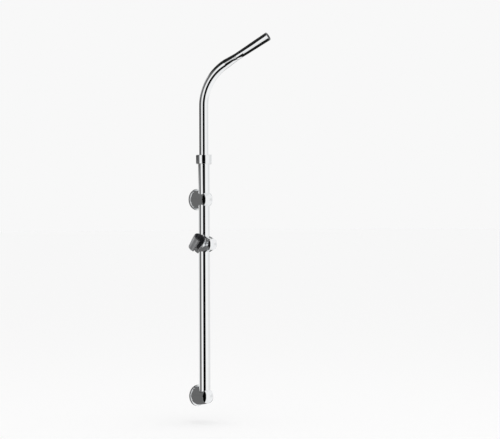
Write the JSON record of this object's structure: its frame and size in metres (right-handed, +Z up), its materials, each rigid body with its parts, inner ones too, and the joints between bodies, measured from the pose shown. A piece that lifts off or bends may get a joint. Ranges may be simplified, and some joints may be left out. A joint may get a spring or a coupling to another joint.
{
  "type": "shower slide rail",
  "caption": "Wall-mounted chrome shower rail with conical brackets, a clamping slider with tilting hand-shower holder and a telescopic bent arm with a slim flared outlet.",
  "frame": {"origin": "centre of the water inlet in the plane of the wall, on the lower bracket's axis", "axes": "+Y into the wall along the water inlet, +Z up along the rail, +X to the right as seen from the front"},
  "size_m": [0.1443, 0.1913, 0.8923],
  "materials": {
    "polished_chrome": "mirror-polished chrome plate on brass",
    "stainless_steel": "plain stainless steel",
    "bare_brass": "turned, unplated brass",
    "black_rubber": "moulded black rubber",
    "white_nylon": "natural white nylon",
    "dark_plastic": "moulded dark grey plastic"
  },
  "bodies": {
    "rail": {"rail_tube": "polished_chrome", "lower_bracket_body": "polished_chrome", "lower_rosette": "polished_chrome", "lower_set_screw": "stainless_steel", "lower_rail_seal": "black_rubber", "inlet_nipple": "bare_brass", "inlet_washer": "black_rubber", "upper_wall_base": "stainless_steel", "upper_rosette": "polished_chrome", "upper_bracket_body": "polished_chrome", "upper_rail_bush": "white_nylon", "upper_set_screw": "stainless_steel", "upper_base_screw": "stainless_steel", "rail_thread_sleeve": "bare_brass", "collet_ring": "white_nylon"},
    "collar_wiper": {"collar_wiper_ring": "black_rubber"},
    "collar": {"collar_nut": "polished_chrome"},
    "arm_guide": {"arm_guide_lower": "white_nylon", "arm_guide_seal": "black_rubber", "arm_guide_upper": "white_nylon"},
    "arm": {"arm_tube": "polished_chrome", "arm_stop_lower": "stainless_steel", "arm_stop_upper": "stainless_steel", "outlet_cone": "polished_chrome", "outlet_washer": "black_rubber", "spray_disc": "dark_plastic"},
    "slider_sleeve": {"slider_liner": "white_nylon"},
    "slider": {"slider_body": "polished_chrome", "holder_friction_washer": "dark_plastic", "holder_pivot_screw": "stainless_steel"},
    "brake_shoe": {"brake_shoe": "white_nylon"},
    "knob": {"clamp_knob": "polished_chrome", "knob_stem": "stainless_steel"},
    "holder": {"holder_cup": "polished_chrome", "holder_insert": "dark_plastic"}
  },
  "joints": [
    {"name": "collar_rise", "type": "slide", "parent": "rail", "child": "collar_wiper", "axis": [0, 0, 1], "range_m": [0, 0.00075]},
    {"name": "collar_turn", "type": "hinge", "parent": "collar_wiper", "child": "collar", "pos_m": [0, -0.028, 0.568], "axis": [0, 0, 1], "range_deg": [0, 180]},
    {"name": "arm_slide", "type": "slide", "parent": "rail", "child": "arm_guide", "axis": [0, 0, 1], "range_m": [-0.1, 0.08]},
    {"name": "arm_swivel", "type": "hinge", "parent": "arm_guide", "child": "arm", "pos_m": [0, -0.028, 0.432], "axis": [0, 0, 1], "range_deg": [-118, 57]},
    {"name": "slider_slide", "type": "slide", "parent": "rail", "child": "slider_sleeve", "axis": [0, 0, 1], "range_m": [-0.31, 0.054]},
    {"name": "slider_swivel", "type": "hinge", "parent": "slider_sleeve", "child": "slider", "pos_m": [0, -0.028, 0.365], "axis": [0, 0, 1], "range_deg": [-20, 60]},
    {"name": "clamp_travel", "type": "slide", "parent": "slider", "child": "brake_shoe", "axis": [0, -1, 0], "range_m": [0, 0.001]},
    {"name": "knob_turn", "type": "hinge", "parent": "brake_shoe", "child": "knob", "pos_m": [0, -0.052, 0.365], "axis": [0, -1, 0], "range_deg": [0, 360]},
    {"name": "holder_tilt", "type": "hinge", "parent": "slider", "child": "holder", "pos_m": [-0.0376, -0.0435, 0.365], "axis": [1, 0, 0], "range_deg": [-30, 30]}
  ],
  "couplings": [
    {"joint": "collar_turn", "follows": "collar_rise", "rad_per_m": 4188.8},
    {"joint": "knob_turn", "follows": "clamp_travel", "rad_per_m": 6283.2}
  ]
}
